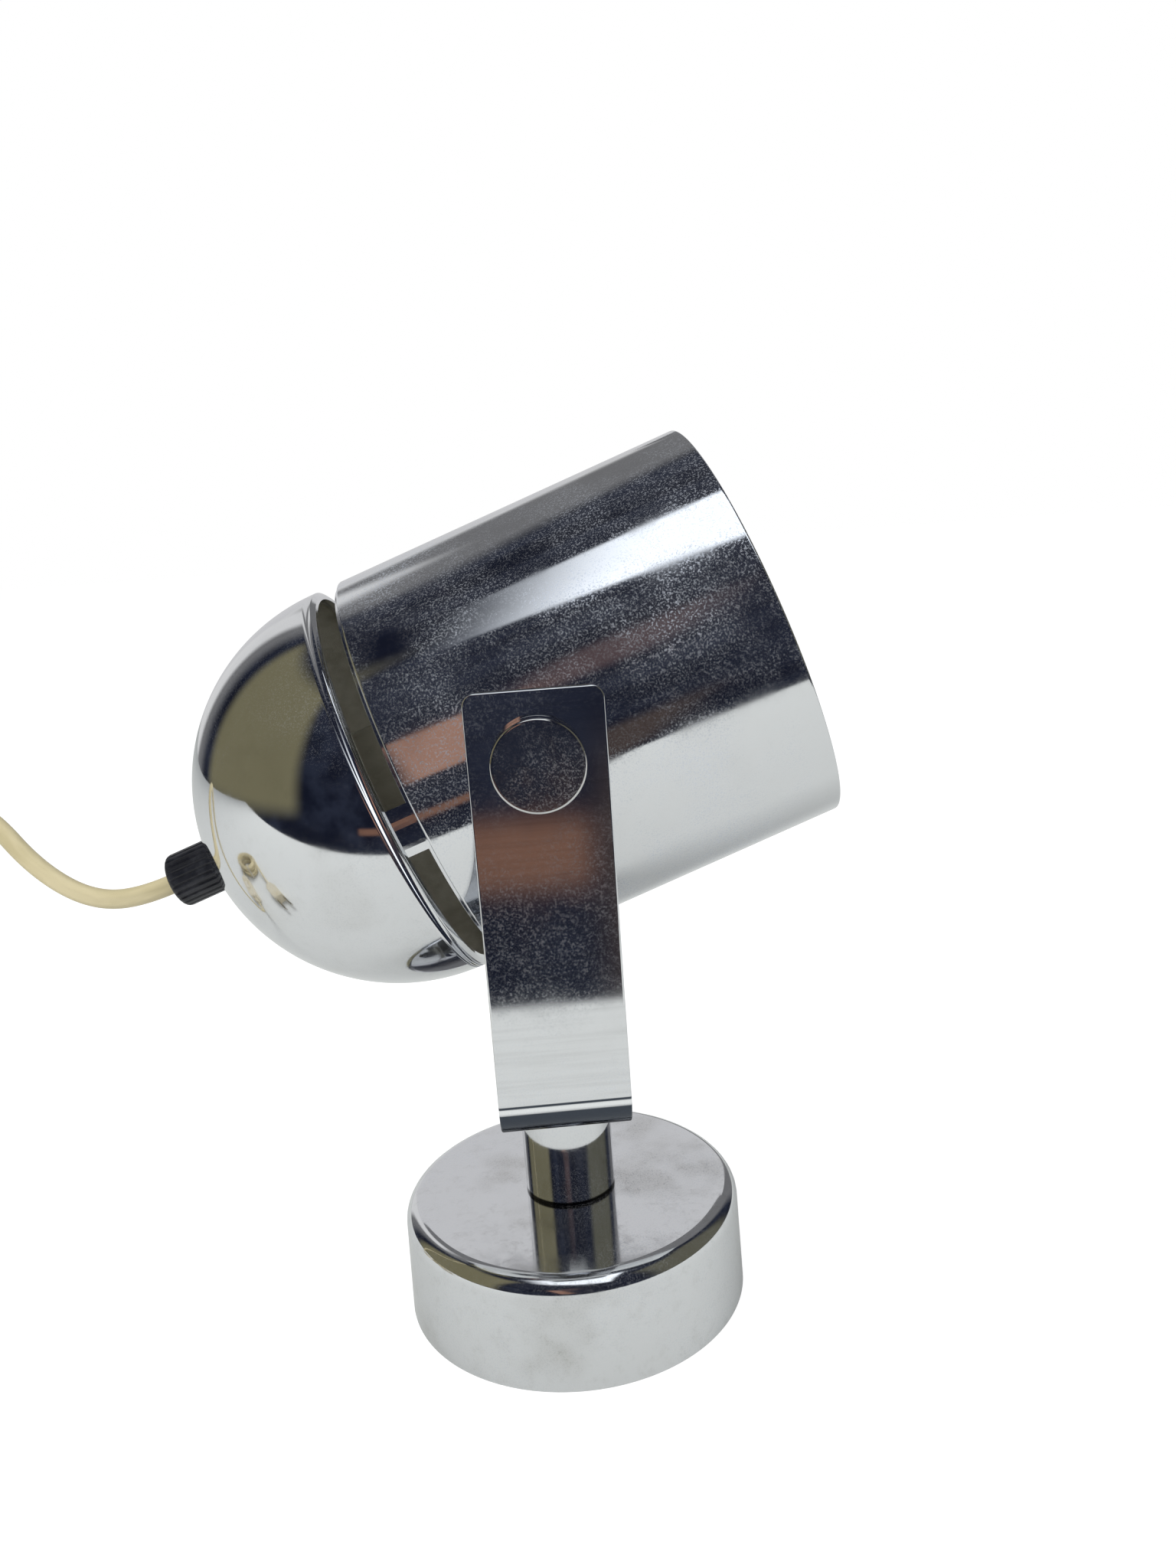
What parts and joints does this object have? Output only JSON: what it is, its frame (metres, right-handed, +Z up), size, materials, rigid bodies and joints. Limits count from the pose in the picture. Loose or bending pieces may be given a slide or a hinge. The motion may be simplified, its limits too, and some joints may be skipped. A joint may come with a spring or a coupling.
{
  "type": "bedside lamp",
  "caption": "Small chrome bedside lamp: a round weighted base with a short stem, an L strap bracket, and a tilting tube shade with a vented dome back, cord, inline switch and plug.",
  "frame": {"origin": "centre of the base on the surface it stands on, between the two screw holes of the base plate", "axes": "+Z up along the stem; +X the way the shade's opening faces at rest; the strap bracket is on the -Y side of the head"},
  "size_m": [0.3878, 0.0976, 0.1973],
  "materials": {
    "chrome_plate": "bright plated, lightly worn",
    "plain_steel": "zinc plated",
    "cast_weight": "rough cast",
    "fibre": "red vulcanised fibre",
    "black_gland": "ribbed moulding",
    "holder_moulding": "moulded resin",
    "ceramic_core": "glazed porcelain",
    "brass": "drawn or turned",
    "bulb_cap_metal": "rolled thread",
    "black_insulator": "black glass insulator",
    "bulb_opal": "opal white",
    "cord_sheath": "cream twin sheath",
    "cream_moulding": "moulded",
    "tie_strap": "soft strap"
  },
  "bodies": {
    "base": {"base_cover": "chrome_plate", "base_plate": "plain_steel", "ballast_disc": "cast_weight", "base_spacer": "plain_steel", "base_stud": "plain_steel", "stem_post": "chrome_plate", "swivel_washer": "fibre", "swivel_spring_washer": "plain_steel", "swivel_screw": "chrome_plate"},
    "bracket": {"strap_bracket": "chrome_plate", "head_cord": "cord_sheath", "switch_lower": "cream_moulding", "switch_upper": "cream_moulding", "switch_screws": "plain_steel", "switch_leads": "cord_sheath", "switch_contacts": "brass", "switch_cord": "cord_sheath", "cord_coil": "cord_sheath", "coil_tie": "tie_strap", "plug_cord": "cord_sheath", "plug_body": "cream_moulding", "plug_pins": "brass"},
    "head": {"shade_cylinder": "chrome_plate", "dome_cap": "chrome_plate", "pivot_knob": "chrome_plate", "pivot_spacer": "chrome_plate", "pivot_backing": "plain_steel", "pivot_nut": "plain_steel", "cable_gland": "black_gland", "entry_nipple": "plain_steel", "entry_washer": "plain_steel", "entry_nut": "plain_steel", "holder_cap": "holder_moulding", "holder_skirt": "holder_moulding", "holder_core": "ceramic_core", "holder_shell": "brass", "holder_contact": "brass", "terminal_screws": "brass", "cord_inner": "cord_sheath", "inner_leads": "cord_sheath", "bulb_cap": "bulb_cap_metal", "bulb_insulator": "black_insulator", "bulb_tip": "brass", "bulb_glass": "bulb_opal"},
    "rocker": {"switch_rocker": "cream_moulding"}
  },
  "joints": [
    {"name": "bracket_swivel", "type": "hinge", "parent": "base", "child": "bracket", "pos_m": [0, 0, 0.0643], "axis": [0, 0, 1], "range_deg": [-170, 170]},
    {"name": "head_tilt", "type": "hinge", "parent": "bracket", "child": "head", "pos_m": [0, -0.0488, 0.1379], "axis": [0, 1, 0], "range_deg": [-30, 110], "deforming": ["head_cord"]},
    {"name": "switch_rocker", "type": "hinge", "parent": "bracket", "child": "rocker", "pos_m": [-0.222, 0.033, 0.0103], "axis": [0, -1, 0], "range_deg": [0, 16]}
  ]
}
